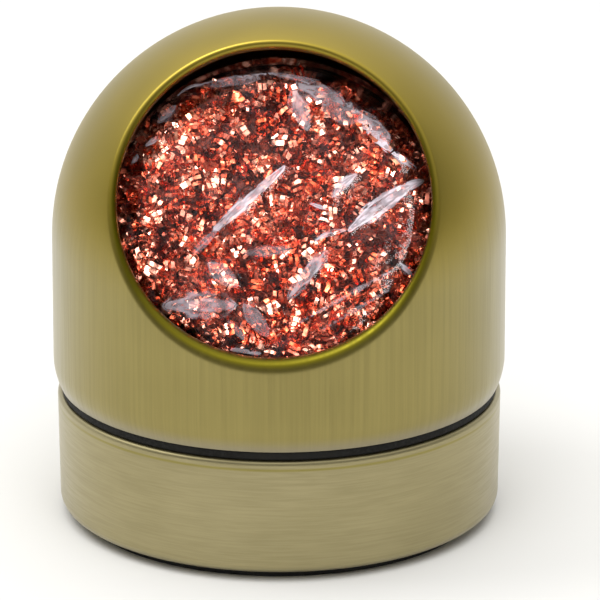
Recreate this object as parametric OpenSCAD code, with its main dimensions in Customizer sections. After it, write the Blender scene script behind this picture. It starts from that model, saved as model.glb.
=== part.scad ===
// Desktop tip cleaner: a domed metal case with a tilted round mouth, standing on a weighted base.
// A ball of crimped copper ribbon in a clear film bag fills the dome behind the mouth.
// Origin: centre of the underside, on the table. +Z up, the mouth faces -Y.

/* [Dome] */
// Outer diameter of the dome
case_d = 67; // [55:0.5:81]
// Height of the whole cleaner, table to crown
case_h = 76; // [70:0.5:92]
// Sheet thickness of the dome
dome_wall = 0.8; // [0.5:0.1:1.2]
// Height over which the dome's lower edge curls in
curl_h = 4; // [2:0.5:5]
// How far the dome's lower edge curls in
curl_in = 0.9; // [0.4:0.1:1.4]

/* [Mouth] */
// Clear diameter of the mouth
mouth_d = 45.8; // [36:0.2:48]
// Tilt of the mouth's axis above the horizontal
mouth_tilt = 30; // [20:1:40]
// Bend radius where the sheet rolls into the mouth
lip_r = 2; // [1:0.1:2.6]
// Straight collar behind the bend, at the top of the mouth
collar_h = 1; // [0.4:0.1:2]

/* [Base] */
// Height of the base's top edge above the table
base_h = 18.8; // [15:0.1:24]
// Sheet thickness of the base
base_wall = 1.1; // [0.8:0.1:1.6]
// Radius of the base's bottom edge
base_edge_r = 1.8; // [1.2:0.1:2.6]
// Radius of the base's top shoulder
shoulder_r = 0.6; // [0.2:0.1:0.7]
// Radius of the pressed recess for the screw head
recess_r = 6; // [5:0.5:10]
// Depth of the pressed recess
recess_h = 1.2; // [0.8:0.1:2]

/* [Seam ring] */
// Thickness of the rubber ring between dome and base
ring_t = 1.4; // [0.8:0.1:2.5]
// How far the ring's edge stands back from the base's side
ring_inset = 0.5; // [0.2:0.1:0.8]

/* [Neck] */
// Sheet thickness of the neck sleeve
neck_wall = 0.6; // [0.4:0.1:1]
// Height of the neck above the seam ring
neck_rise = 6; // [3:0.5:8]
// Width of the neck's inward foot flange
flange_w = 4; // [2:0.5:8]

/* [Ballast] */
// Thickness of the steel ballast disc
ballast_t = 4; // [3:0.5:6]
// Diameter of the ballast screw's thread
screw_d = 4; // [3:0.5:5]
// Diameter of the screw's low head
head_d = 7.2; // [6:0.2:9]
// Height of the screw's head
head_h = 1.3; // [0.9:0.1:1.6]
// Width of the screwdriver slot
slot_w = 1; // [0.6:0.1:1.4]
// Depth of the screwdriver slot
slot_h = 0.6; // [0.3:0.1:0.8]
// How far the screw's end stops below the ballast's top
screw_short = 1; // [0.2:0.1:2]
// Diameter of the lock washer
washer_d = 8; // [7:0.2:10]
// Thickness of the lock washer
washer_t = 0.5; // [0.3:0.1:0.8]

/* [Foot] */
// Thickness of the rubber foot pad
pad_t = 1; // [0.8:0.1:3]
// Thickness of the adhesive that holds the pad
glue_t = 0.2; // [0.1:0.05:0.4]
// Margin between the pad and the rounded edge of the base
pad_margin = 1; // [0.5:0.5:4]
// Radius of the hole in the pad, around the screw recess
pad_hole_r = 7; // [5:0.5:12]

/* [Catch cup] */
// Height of the cup that catches the solder crumbs
cup_h = 12; // [8:0.5:18]
// Sheet thickness of the cup
cup_wall = 0.5; // [0.4:0.1:0.8]
// Radius of the rolled bead at the cup's rim
bead_r = 0.7; // [0.5:0.1:1]
// Outer radius of the cup's bottom corner
cup_corner_r = 2.5; // [1:0.5:4]

/* [Cleaning wool] */
// Room between the wool ball and the tip of the mouth's collar
wool_room = 3.3; // [2:0.1:6]
// Drop of the ball's round top below the dome's centre
wool_drop = 1.5; // [0:0.5:5]
// Radius of the ball's soft bottom corner
wool_corner_r = 9; // [3:0.5:14]
// Depth of the ball's flattened face behind the tip of the collar
face_gap = 0.5; // [0.3:0.1:4]
// Thickness of the clear film bag
film_t = 0.2; // [0.1:0.05:0.4]
// Radius of the hole where the bag is gathered under the ball
gather_r = 3; // [1:0.5:6]

/* [Fits] */
// Running clearance of the dome and the ring on the neck, on the radius
run_fit = 0.08; // [0.03:0.01:0.1]
// Clearance of the neck inside the base, on the radius
neck_fit = 0.08; // [0.03:0.01:0.2]
// Clearance of a loose piece in the neck, on the radius
loose_fit = 0.35; // [0.2:0.05:0.6]
// Clearance of the screw in the ballast's thread, on the radius
thread_fit = 0.05; // [0.02:0.01:0.1]
// Clearance of the screw and washer holes, on the radius
hole_fit = 0.2; // [0.1:0.05:0.4]
// Gap between the film and what it lies against
soft_gap = 0.3; // [0.2:0.1:0.6]

/* [Hidden] */
$fn = 128;
// Overrun of a cut past the face it opens
cut = 1;

// Dome
dome_r = case_d / 2;
dome_z = case_h - dome_r;
edge_z = base_h + ring_t;
curl_z = edge_z + curl_h;
curl_r = (curl_in * curl_in + curl_h * curl_h) / (2 * curl_in);
edge_in_r = dome_r - curl_r + sqrt(pow(curl_r - dome_wall, 2) - curl_h * curl_h);

// Mouth, measured from the dome's centre along the mouth's axis
mouth_r = mouth_d / 2;
lip_depth = sqrt(pow(dome_r - lip_r, 2) - pow(mouth_r + lip_r, 2));
tip_depth = lip_depth - collar_h;
tip_reach = sqrt(tip_depth * tip_depth + mouth_r * mouth_r);

// Base, neck and foot
base_z = pad_t + glue_t;
floor_z = base_z + base_wall;
neck_r = edge_in_r - run_fit;
neck_in_r = neck_r - neck_wall;
neck_top = edge_z + neck_rise;
base_in_r = neck_r + neck_fit;
base_r = base_in_r + base_wall;
pad_r = base_r - base_edge_r - pad_margin;

// Ballast and its screw
ballast_z = floor_z + neck_wall;
ballast_top = ballast_z + ballast_t;
ballast_r = neck_in_r - loose_fit;
recess_top = floor_z + recess_h;
screw_r = screw_d / 2;
washer_top = base_z + recess_h;
head_top = washer_top - washer_t;

// Cup
cup_r = neck_in_r - loose_fit - 2 * bead_r + cup_wall;
cup_floor = ballast_top + cup_wall;
cup_top = ballast_top + cup_h;

// Wool and film
wool_r = tip_reach - wool_room;
wool_z = dome_z - wool_drop;
film_bottom = cup_floor + soft_gap;
wool_bottom = film_bottom + film_t + soft_gap;
wool_face = tip_depth - face_gap - film_t - soft_gap;

// Places its children at the dome's centre, with +Z along the mouth's axis.
module on_mouth_axis() {
    translate([0, 0, dome_z]) rotate([90 - mouth_tilt, 0, 0]) children();
}

// Flat ring or disc of revolution.
module ring(inner_r, outer_r, z, height) {
    rotate_extrude() translate([inner_r, z]) square([outer_r - inner_r, height]);
}

// Half section, from the axis out, of a disc with a rounded lower edge.
module round_foot_half(r, z_low, z_high, r_low) {
    translate([0, z_low + r_low]) square([r, z_high - z_low - r_low]);
    translate([0, z_low]) square([r - r_low, r_low]);
    half_circle(r - r_low, z_low + r_low, r_low);
}

// Circle in the half plane right of the axis.
module half_circle(x, z, r) {
    intersection() {
        translate([x, z]) circle(r);
        translate([0, z - r]) square([x + r, 2 * r]);
    }
}

// Half section of the dome, set in by a wall, with its skirt run down past its edge.
module dome_half(inset, run_down) {
    r = dome_r - inset;
    intersection() {
        half_circle(0, dome_z, r);
        translate([0, dome_z]) square(r);
    }
    translate([0, curl_z]) square([r, dome_z - curl_z]);
    intersection() {
        half_circle(dome_r - curl_r, curl_z, curl_r - inset);
        translate([0, edge_z]) square([r, curl_h]);
    }
    translate([0, edge_z - run_down]) square([edge_in_r, curl_h + run_down]);
}

// Outer body of the dome, filled.
module dome_solid() {
    rotate_extrude() dome_half(0, 0);
}

// Drawn metal dome with a collar rolled into its mouth.
module dome_shell() {
    color([0.58, 0.54, 0.29]) {
        difference() {
            rotate_extrude() difference() {
                dome_half(0, 0);
                dome_half(dome_wall, cut);
            }
            on_mouth_axis() cylinder(r = mouth_r + dome_wall / 2, h = case_d);
        }
        intersection() {
            dome_solid();
            on_mouth_axis() ring(mouth_r, mouth_r + dome_wall, tip_depth, case_d);
        }
    }
}

// Black rubber ring that shows as the dark line between dome and base.
module seam_ring() {
    color([0.06, 0.06, 0.05]) ring(neck_r + run_fit, base_r - ring_inset, base_h, ring_t);
}

// Sleeve that the dome slips over, with a foot flange under the ballast.
module neck_sleeve() {
    color([0.62, 0.62, 0.6]) rotate_extrude() {
        translate([neck_in_r, floor_z]) square([neck_wall, neck_top - floor_z - neck_wall / 2]);
        translate([neck_in_r + neck_wall / 2, neck_top - neck_wall / 2]) circle(neck_wall / 2);
        translate([neck_in_r - flange_w, floor_z]) square([flange_w + neck_wall / 2, neck_wall]);
    }
}

// Drawn metal base cup with a pressed recess in its floor.
module base_shell() {
    color([0.60, 0.57, 0.40]) rotate_extrude() difference() {
        union() {
            difference() {
                union() {
                    round_foot_half(base_r, base_z, base_h - shoulder_r, base_edge_r);
                    translate([0, base_h - shoulder_r]) square([base_r - shoulder_r, shoulder_r]);
                    half_circle(base_r - shoulder_r, base_h - shoulder_r, shoulder_r);
                }
                translate([0, floor_z]) square([base_in_r, base_h]);
            }
            translate([0, base_z]) square([recess_r + base_wall, recess_h + base_wall]);
        }
        translate([0, base_z - cut]) square([recess_r, recess_h + cut]);
        translate([0, base_z]) square([screw_r + hole_fit, base_h]);
    }
}

// Steel disc that keeps the cleaner from tipping, tapped for its screw.
module ballast_disc() {
    color([0.45, 0.46, 0.48]) rotate_extrude() difference() {
        translate([0, ballast_z]) square([ballast_r, ballast_t]);
        translate([0, ballast_z - cut]) {
            square([recess_r + base_wall + hole_fit, recess_top - ballast_z + cut]);
            square([screw_r + thread_fit, ballast_t + 2 * cut]);
        }
    }
}

// Low-head screw that clamps the ballast and the neck's flange to the base's floor.
module ballast_screw() {
    color([0.75, 0.75, 0.76]) difference() {
        rotate_extrude() {
            translate([0, head_top - head_h]) square([head_d / 2, head_h]);
            translate([0, head_top]) square([screw_r, ballast_top - head_top - screw_short]);
        }
        translate([-head_d, -slot_w / 2, head_top - head_h - cut]) cube([2 * head_d, slot_w, slot_h + cut]);
    }
}

// Washer under the screw's head.
module lock_washer() {
    color([0.7, 0.7, 0.72]) ring(screw_r + hole_fit, washer_d / 2, head_top, washer_t);
}

// Thin cup that the wool stands in, with a rolled bead at its rim.
module catch_cup() {
    color([0.72, 0.72, 0.7]) rotate_extrude() {
        difference() {
            round_foot_half(cup_r, ballast_top, cup_top - bead_r, cup_corner_r);
            round_foot_half(cup_r - cup_wall, cup_floor, cup_top, cup_corner_r - cup_wall);
        }
        translate([cup_r - cup_wall + bead_r, cup_top - bead_r]) difference() {
            circle(bead_r);
            circle(bead_r - cup_wall);
        }
    }
}

// Ball of wool with a flat bottom and a face flattened behind the mouth, grown by a margin.
module wool_form(margin) {
    r = wool_r + margin;
    bottom = wool_bottom - margin;
    difference() {
        rotate_extrude() {
            half_circle(0, wool_z, r);
            round_foot_half(r, bottom, wool_z, wool_corner_r);
        }
        on_mouth_axis() translate([-case_d, -case_d, wool_face + margin]) cube(2 * case_d);
    }
}

// Ball of crimped copper ribbon.
module cleaning_wool() {
    color([0.62, 0.25, 0.14]) wool_form(0);
}

// Clear film bag around the ball, gathered underneath.
module wool_wrap() {
    color([0.85, 0.82, 0.86, 0.35]) difference() {
        wool_form(soft_gap + film_t);
        wool_form(soft_gap);
        translate([0, 0, film_bottom - cut]) cylinder(r = gather_r, h = film_t + soft_gap + cut);
    }
}

// Rubber pad under the base, around the screw recess.
module foot_pad() {
    color([0.1, 0.1, 0.1]) ring(pad_hole_r, pad_r, 0, pad_t);
}

// Double-sided adhesive between the pad and the base.
module pad_adhesive() {
    color([0.85, 0.83, 0.75]) ring(pad_hole_r, pad_r, pad_t, glue_t);
}

dome_shell();
seam_ring();
neck_sleeve();
base_shell();
ballast_disc();
ballast_screw();
lock_washer();
catch_cup();
cleaning_wool();
wool_wrap();
foot_pad();
pad_adhesive();
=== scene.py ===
"""The looks of a desktop soldering tip cleaner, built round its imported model.

A domed case in olive-gold anodised aluminium stands on a weighted base of the same metal. A ball of
crimped copper ribbon, still in its clear film, fills the case behind the tilted round mouth.
"""

import logging
import math
import random
from dataclasses import dataclass, field
from enum import Enum

import bmesh
import bpy
from mathutils import Matrix, Vector, noise
from mathutils.bvhtree import BVHTree


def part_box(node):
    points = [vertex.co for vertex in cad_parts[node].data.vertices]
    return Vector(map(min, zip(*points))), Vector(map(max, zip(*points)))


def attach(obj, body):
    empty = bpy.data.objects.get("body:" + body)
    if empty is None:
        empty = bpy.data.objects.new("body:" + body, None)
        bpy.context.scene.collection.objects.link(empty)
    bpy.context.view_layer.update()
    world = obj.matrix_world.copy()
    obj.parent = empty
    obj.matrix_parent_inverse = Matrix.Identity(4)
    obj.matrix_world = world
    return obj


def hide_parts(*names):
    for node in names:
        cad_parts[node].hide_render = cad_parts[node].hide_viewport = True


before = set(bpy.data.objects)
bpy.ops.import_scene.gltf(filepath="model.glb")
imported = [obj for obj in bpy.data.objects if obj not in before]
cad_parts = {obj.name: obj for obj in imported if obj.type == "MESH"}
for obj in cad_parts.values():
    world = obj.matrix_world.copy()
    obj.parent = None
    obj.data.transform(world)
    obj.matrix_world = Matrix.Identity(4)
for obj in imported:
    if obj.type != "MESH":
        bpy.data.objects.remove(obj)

Tree = bpy.types.NodeTree
Socket = bpy.types.NodeSocket
Form = bmesh.types.BMesh
Piece = bpy.types.Object

MM = 0.001
UP = Vector((0.0, 0.0, 1.0))
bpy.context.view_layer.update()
log = logging.getLogger("tip_cleaner")


def linear(code: str) -> tuple[float, float, float, float]:
    """Turns a colour as it is seen into the linear values that a shader takes.

    Args:
        code: sRGB colour as six hex digits.

    Returns:
        Red, green, blue and an alpha of one.
    """
    shares = [int(code[i : i + 2], 16) / 255 for i in (0, 2, 4)]
    red, green, blue = (s / 12.92 if s <= 0.04045 else ((s + 0.055) / 1.055) ** 2.4 for s in shares)
    return red, green, blue, 1.0


def add_node(
    tree: Tree,
    kind: str,
    settings: dict[str, object] | None = None,
    inputs: dict[object, object] | None = None,
) -> bpy.types.Node:
    """Adds a node to a tree with its settings, values and links.

    Args:
        tree: Tree that takes the node.
        kind: Blender's name for the kind of node.
        settings: Values of the node's own settings.
        inputs: For each input, by name or number, a value or the socket that feeds it.

    Returns:
        The new node.
    """
    made = tree.nodes.new(kind)
    for name, value in (settings or {}).items():
        setattr(made, name, value)
    for key, value in (inputs or {}).items():
        if isinstance(value, Socket):
            tree.links.new(value, made.inputs[key])
        else:
            made.inputs[key].default_value = value
    return made


def sizes_of(node: str) -> tuple[float, float, float]:
    """Reads a round piece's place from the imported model.

    Args:
        node: Name of the CAD node.

    Returns:
        Its outer radius, lowest height and highest height, in metres.
    """
    low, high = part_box(node)
    return (high.x - low.x) / 2, low.z, high.z


# ---------------------------------------------------------------------------------------------
# Finishes
# ---------------------------------------------------------------------------------------------

# A node that fits a value from one range into another eases in and out of it; its inputs are the
# value, the two ends of its range, and what it gives at each. A node that mixes takes two colours.
SMOOTH = {"interpolation_type": "SMOOTHSTEP"}
COLOURS = {"data_type": "RGBA"}


class Grain(Enum):
    """Direction in which a metal surface was worked."""

    UPRIGHT = "upright"
    ROUND = "round"


@dataclass(frozen=True)
class Finish:
    """A surface finish, made once and shared by the pieces that have it."""

    name: str

    def material(self) -> bpy.types.Material:
        """Makes the finish's material, or finds it if it is made.

        Returns:
            The material, with its surface linked to its output.
        """
        found = bpy.data.materials.get(self.name)
        if found:
            return found
        made = bpy.data.materials.new(self.name)
        made.use_nodes = True
        tree = made.node_tree
        tree.nodes.clear()
        place = add_node(tree, "ShaderNodeTexCoord").outputs["Object"]
        surface = self.surface(tree, place)
        add_node(tree, "ShaderNodeOutputMaterial", inputs={"Surface": surface})
        return made

    def surface(self, tree: Tree, place: Socket) -> Socket:
        """Builds the finish's nodes; each finish has its own.

        Args:
            tree: Tree that takes the nodes.
            place: Place on the object, in metres.

        Returns:
            The shader's socket.
        """
        raise NotImplementedError

    @staticmethod
    def mottled(
        tree: Tree,
        pattern: Socket,
        span: tuple[float, float],
        most: float,
        under: object,
        over: object,
    ) -> Socket:
        """Lays one colour over another where a pattern is strong.

        Args:
            tree: Tree that takes the nodes.
            pattern: Strength of the pattern.
            span: Strengths at which the upper colour starts and at which it is full.
            most: Largest share of the upper colour.
            under: Lower colour or its socket.
            over: Upper colour or its socket.

        Returns:
            The mixed colour.
        """
        shift = {0: pattern, 1: span[0], 2: span[1], 3: 0.0, 4: most}
        share = add_node(tree, "ShaderNodeMapRange", SMOOTH, shift).outputs[0]
        return add_node(tree, "ShaderNodeMix", COLOURS, {0: share, 6: under, 7: over}).outputs[2]

    @staticmethod
    def grained(
        tree: Tree,
        tone: Socket,
        grain: Socket,
        gloss: tuple[float, float],
        relief: tuple[float, float],
        others: dict[str, float] | None = None,
    ) -> Socket:
        """Closes a surface whose grain varies its gloss and stands up from it.

        Args:
            tree: Tree that takes the nodes.
            tone: Colour of the surface.
            grain: Strength of the grain.
            gloss: Roughness where the grain is weak, and where it is strong.
            relief: Strength of the bump, and its height in metres.
            others: Values of the shader's other inputs.

        Returns:
            The shader's socket.
        """
        shift = {0: grain, 1: 0.3, 2: 0.7, 3: gloss[0], 4: gloss[1]}
        rough = add_node(tree, "ShaderNodeMapRange", SMOOTH, shift).outputs[0]
        strength, height = relief
        raised = {"Strength": strength, "Distance": height, "Height": grain}
        normal = add_node(tree, "ShaderNodeBump", inputs=raised).outputs["Normal"]
        inputs = {"Base Color": tone, "Roughness": rough, "Normal": normal, **(others or {})}
        return add_node(tree, "ShaderNodeBsdfPrincipled", inputs=inputs).outputs["BSDF"]


@dataclass(frozen=True)
class AnodisedAluminium(Finish):
    """Aluminium sheet, spun, brushed and anodised in olive gold.

    The dyed layer tints what the metal mirrors, and its sealed top mirrors a little white over it. Where
    the sheet is brushed the dye looks greyer. The crown has no lines and a thinner seal, and looks
    yellower. Through the lip's bend a darker, greener olive is painted and the seal is thinned, most at
    the bottom of the mouth: painted shade. Along the curled lower edge a paler grey is painted: a painted
    reflection of the pale surroundings.
    """

    colour: str = "94874a"
    deep: str = "796e35"
    crown: str = "a18d35"
    # Painted shade in the lip's bend: a darker, greener olive.
    painted_lip_shade: str = "61590a"
    # Painted reflection of the pale surroundings: a paler grey on the curled lower edge, between these
    # heights.
    painted_curl_reflection: str = "9c9484"
    curl_reflection_low: float = 0.0
    curl_reflection_high: float = 0.0
    line: str = "8f8436"
    line_height: float = 0.0
    line_width: float = 0.35 * MM
    grain: Grain = Grain.UPRIGHT
    grain_size: float = 0.22 * MM
    grain_length: float = 14 * MM
    grain_fade: tuple[float, float] = (0.06, 0.07)
    grain_depth: float = 0.22
    roughness: float = 0.36
    coat: float = 0.68

    def surface(self, tree: Tree, place: Socket) -> Socket:
        """Builds the brushed, dyed metal.

        Args:
            tree: Tree that takes the nodes.
            place: Place on the object, in metres.

        Returns:
            The shader's socket.
        """
        height = add_node(tree, "ShaderNodeSeparateXYZ", inputs={0: place}).outputs["Z"]
        lines = self.lines(tree, place)
        top, bottom = self.grain_fade
        shown = add_node(tree, "ShaderNodeMapRange", SMOOTH, {0: height, 1: top, 2: bottom, 3: 1.0, 4: 0.0})
        flake = add_node(
            tree,
            "ShaderNodeTexNoise",
            inputs={"Vector": place, "Scale": 0.5 / (0.12 * MM), "Detail": 2.0},
        ).outputs["Fac"]
        cloud = add_node(
            tree,
            "ShaderNodeTexNoise",
            inputs={"Vector": place, "Scale": 0.5 / (9 * MM), "Detail": 3.0},
        ).outputs["Fac"]
        centred = add_node(tree, "ShaderNodeMath", {"operation": "SUBTRACT"}, {0: lines, 1: 0.5})
        brushed = add_node(
            tree,
            "ShaderNodeMath",
            {"operation": "MULTIPLY_ADD"},
            {0: centred.outputs[0], 1: shown.outputs[0], 2: 0.5},
        ).outputs[0]
        deep = linear(self.deep)
        tone = add_node(
            tree,
            "ShaderNodeMix",
            COLOURS,
            {0: shown.outputs[0], 6: linear(self.crown), 7: linear(self.colour)},
        ).outputs[2]
        tone = self.mottled(tree, brushed, (0.3, 0.7), self.grain_depth, tone, deep)
        tone = self.mottled(tree, cloud, (0.35, 0.7), 0.22, tone, deep)
        tone = self.marked(tree, tone, height)
        # Painted shade: through the lip's bend the colour darkens to a greener olive and the coat thins,
        # most at the bottom of the mouth.
        bend = add_node(tree, "ShaderNodeAttribute", {"attribute_name": "bend"}).outputs["Fac"]
        tone = self.mottled(tree, bend, (0.05, 0.36), 1.0, tone, linear(self.painted_lip_shade))
        sealed = add_node(
            tree, "ShaderNodeMapRange", SMOOTH, {0: bend, 1: 0.02, 2: 0.2, 3: self.coat, 4: 0.12}
        ).outputs[0]
        matted = add_node(
            tree, "ShaderNodeMapRange", SMOOTH, {0: shown.outputs[0], 1: 0.0, 2: 1.0, 3: 0.2, 4: 1.0}
        ).outputs[0]
        coat = add_node(
            tree, "ShaderNodeMath", {"operation": "MULTIPLY"}, {0: sealed, 1: matted}
        ).outputs[0]
        low, high = self.roughness - 0.05, self.roughness + 0.07
        gloss = add_node(
            tree, "ShaderNodeMapRange", SMOOTH, {0: brushed, 1: 0.25, 2: 0.75, 3: low, 4: high}
        ).outputs[0]
        grit = add_node(tree, "ShaderNodeMix", COLOURS, {0: 0.35, 6: brushed, 7: flake}).outputs[2]
        bump = add_node(
            tree,
            "ShaderNodeBump",
            inputs={"Strength": 0.22, "Distance": 0.02 * MM, "Height": grit},
        )
        return add_node(
            tree,
            "ShaderNodeBsdfPrincipled",
            inputs={
                "Base Color": tone,
                "Metallic": 1.0,
                "Roughness": gloss,
                "Normal": bump.outputs["Normal"],
                "Coat Weight": coat,
                "Coat Roughness": 0.32,
                "Coat IOR": 1.5,
            },
        ).outputs["BSDF"]

    def marked(self, tree: Tree, tone: Socket, height: Socket) -> Socket:
        """Adds the painted reflection on the curled edge and the darker line, where the finish has them.

        Args:
            tree: Tree that takes the nodes.
            tone: Colour of the plain metal.
            height: Height on the object, in metres.

        Returns:
            The colour with its marks.
        """
        # Painted reflection: a paler grey over the curled lower edge, standing in for its reflection of the
        # pale surroundings.
        if self.curl_reflection_high:
            high, low = self.curl_reflection_high, self.curl_reflection_low - MM
            tone = self.mottled(tree, height, (high, low), 0.8, tone, linear(self.painted_curl_reflection))
        # A darker olive line round the piece, at a set height and width.
        if self.line_height:
            drop = {0: height, 1: self.line_height}
            off = add_node(tree, "ShaderNodeMath", {"operation": "SUBTRACT"}, drop).outputs[0]
            near = add_node(tree, "ShaderNodeMath", {"operation": "ABSOLUTE"}, {0: off}).outputs[0]
            tone = self.mottled(tree, near, (self.line_width, 0.0), 0.8, tone, linear(self.line))
        return tone

    def lines(self, tree: Tree, place: Socket) -> Socket:
        """Draws the brushing as noise, drawn out along the way the metal was worked.

        A real brushed line is about 0.03 mm wide, too fine to show, so each is drawn several times as wide.

        Args:
            tree: Tree that takes the nodes.
            place: Place on the object.

        Returns:
            The lines' strength, from zero to one.
        """
        spread = self.grain_size / self.grain_length
        across, along = (1.0, spread) if self.grain is Grain.UPRIGHT else (spread, 1.0)
        flat = add_node(
            tree, "ShaderNodeVectorMath", {"operation": "MULTIPLY"}, {0: place, 1: (1.0, 1.0, 0.0)}
        ).outputs[0]
        unit = add_node(tree, "ShaderNodeVectorMath", {"operation": "NORMALIZE"}, {0: flat}).outputs[0]
        radius = sizes_of("dome_shell")[0]
        rim = add_node(
            tree,
            "ShaderNodeVectorMath",
            {"operation": "MULTIPLY"},
            {0: unit, 1: (radius * across,) * 3},
        ).outputs[0]
        wound = add_node(
            tree,
            "ShaderNodeVectorMath",
            {"operation": "MULTIPLY_ADD"},
            {0: place, 1: (0.0, 0.0, along), 2: rim},
        ).outputs[0]
        return add_node(
            tree,
            "ShaderNodeTexNoise",
            inputs={"Vector": wound, "Scale": 0.5 / self.grain_size, "Detail": 3.0, "Roughness": 0.6},
        ).outputs["Fac"]


@dataclass(frozen=True)
class TurnedMetal(Finish):
    """Bare metal turned or drawn on a lathe, so fine rings run round its axis."""

    colour: str = "b9b9b6"
    deep: str = "85858a"
    ring_size: float = 0.25 * MM
    roughness: float = 0.3

    def surface(self, tree: Tree, place: Socket) -> Socket:
        """Builds the ringed metal.

        Args:
            tree: Tree that takes the nodes.
            place: Place on the object, in metres.

        Returns:
            The shader's socket.
        """
        parts = add_node(tree, "ShaderNodeSeparateXYZ", inputs={0: place})
        flat = add_node(
            tree, "ShaderNodeCombineXYZ", inputs={"X": parts.outputs["X"], "Y": parts.outputs["Y"]}
        )
        reach = add_node(
            tree, "ShaderNodeVectorMath", {"operation": "LENGTH"}, {0: flat.outputs[0]}
        ).outputs["Value"]
        section = add_node(
            tree, "ShaderNodeCombineXYZ", inputs={"X": reach, "Z": parts.outputs["Z"]}
        ).outputs[0]
        rings = add_node(
            tree,
            "ShaderNodeTexNoise",
            inputs={"Vector": section, "Scale": 0.5 / self.ring_size, "Detail": 2.0},
        ).outputs["Fac"]
        stain = add_node(
            tree,
            "ShaderNodeTexNoise",
            inputs={"Vector": place, "Scale": 0.5 / (4 * MM), "Detail": 4.0},
        ).outputs["Fac"]
        both = add_node(tree, "ShaderNodeMath", {"operation": "MULTIPLY"}, {0: rings, 1: stain}).outputs[0]
        tone = self.mottled(tree, both, (0.15, 0.4), 1.0, linear(self.colour), linear(self.deep))
        gloss = (self.roughness - 0.07, self.roughness + 0.1)
        return self.grained(tree, tone, rings, gloss, (0.3, 0.02 * MM), {"Metallic": 1.0})


@dataclass(frozen=True)
class MouldedRubber(Finish):
    """Black nitrile rubber, moulded against a blasted tool, so it is matt, with pale dust in its pores."""

    colour: str = "0f0e0a"
    dust: str = "2c2a24"
    grit_size: float = 0.2 * MM

    def surface(self, tree: Tree, place: Socket) -> Socket:
        """Builds the rubber.

        Args:
            tree: Tree that takes the nodes.
            place: Place on the object, in metres.

        Returns:
            The shader's socket.
        """
        grit = add_node(
            tree,
            "ShaderNodeTexNoise",
            inputs={"Vector": place, "Scale": 0.5 / self.grit_size, "Detail": 3.0},
        ).outputs["Fac"]
        patch = add_node(
            tree,
            "ShaderNodeTexNoise",
            inputs={"Vector": place, "Scale": 0.5 / (5 * MM), "Detail": 2.0},
        ).outputs["Fac"]
        both = add_node(tree, "ShaderNodeMath", {"operation": "MULTIPLY"}, {0: grit, 1: patch}).outputs[0]
        tone = self.mottled(tree, both, (0.22, 0.42), 0.55, linear(self.colour), linear(self.dust))
        dull = {"Specular IOR Level": 0.35}
        return self.grained(tree, tone, grit, (0.62, 0.85), (0.5, 0.04 * MM), dull)


@dataclass(frozen=True)
class CopperRibbon(Finish):
    """Soft copper wire rolled flat and crimped, bright where fresh and redder where it has tarnished."""

    bright: str = "fbcbb2"
    red: str = "d05c35"
    dark: str = "85250f"
    roughness: float = 0.24

    def surface(self, tree: Tree, place: Socket) -> Socket:
        """Builds the copper, whose tone changes from curl to curl and in patches over the ball.

        Args:
            tree: Tree that takes the nodes.
            place: Place on the object, in metres.

        Returns:
            The shader's socket.
        """
        curl = add_node(tree, "ShaderNodeAttribute", {"attribute_name": "tone"}).outputs["Fac"]
        patch = add_node(
            tree,
            "ShaderNodeTexNoise",
            inputs={"Vector": place, "Scale": 0.5 / (3 * MM), "Detail": 3.0},
        ).outputs["Fac"]
        bloom = add_node(
            tree,
            "ShaderNodeTexNoise",
            inputs={"Vector": place, "Scale": 0.5 / (0.35 * MM), "Detail": 2.0},
        ).outputs["Fac"]
        tone = add_node(
            tree, "ShaderNodeMix", COLOURS, {0: curl, 6: linear(self.bright), 7: linear(self.red)}
        ).outputs[2]
        tone = self.mottled(tree, patch, (0.42, 0.7), 0.8, tone, linear(self.dark))
        gloss = (self.roughness - 0.06, self.roughness + 0.14)
        return self.grained(tree, tone, bloom, gloss, (0.35, 0.03 * MM), {"Metallic": 1.0})


@dataclass(frozen=True)
class ShadedCopper(Finish):
    """The inside of the ball, where the ribbon lies too deep and too close for much light to reach it."""

    colour: str = "7c2f18"
    deep: str = "3a1209"

    def surface(self, tree: Tree, place: Socket) -> Socket:
        """Builds the dark, matted copper.

        Args:
            tree: Tree that takes the nodes.
            place: Place on the object, in metres.

        Returns:
            The shader's socket.
        """
        mat = add_node(
            tree,
            "ShaderNodeTexNoise",
            inputs={"Vector": place, "Scale": 0.5 / (0.45 * MM), "Detail": 4.0, "Distortion": 1.5},
        ).outputs["Fac"]
        tone = self.mottled(tree, mat, (0.4, 0.65), 1.0, linear(self.deep), linear(self.colour))
        return self.grained(tree, tone, mat, (0.35, 0.6), (1.0, 0.4 * MM), {"Metallic": 0.5})


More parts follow.
